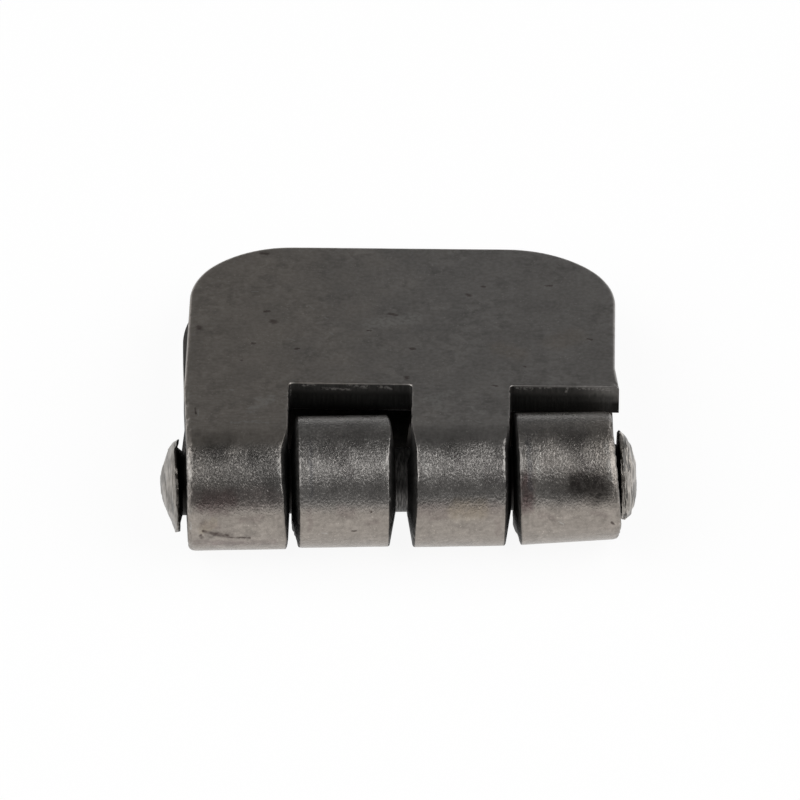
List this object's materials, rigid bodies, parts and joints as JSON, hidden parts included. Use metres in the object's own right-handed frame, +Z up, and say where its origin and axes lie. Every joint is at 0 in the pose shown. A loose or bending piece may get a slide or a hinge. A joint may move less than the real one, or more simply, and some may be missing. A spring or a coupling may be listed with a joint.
{
  "type": "butt hinge",
  "caption": "Plain steel butt hinge for welding, with rolled knuckles, rounded far corners and a peened pin, folded shut.",
  "frame": {"origin": "on the outer face of the lower leaf, under the pin and midway along that leaf", "axes": "+X along the pin, +Y from the barrel towards the far edges, +Z up from the lower leaf to the upper one"},
  "size_m": [0.0442, 0.037, 0.0121],
  "materials": {
    "leaf_steel": "plain, dark and oily from the rolling mill",
    "pin_steel": "plain, with hammered heads"
  },
  "bodies": {
    "lower_leaf": {"lower_leaf": "leaf_steel", "pin": "pin_steel"},
    "upper_leaf": {"upper_leaf": "leaf_steel"}
  },
  "joints": [
    {"name": "leaf_swing", "type": "hinge", "parent": "lower_leaf", "child": "upper_leaf", "pos_m": [0, 0, 0.00605], "axis": [1, 0, 0], "range_deg": [0, 276]}
  ]
}
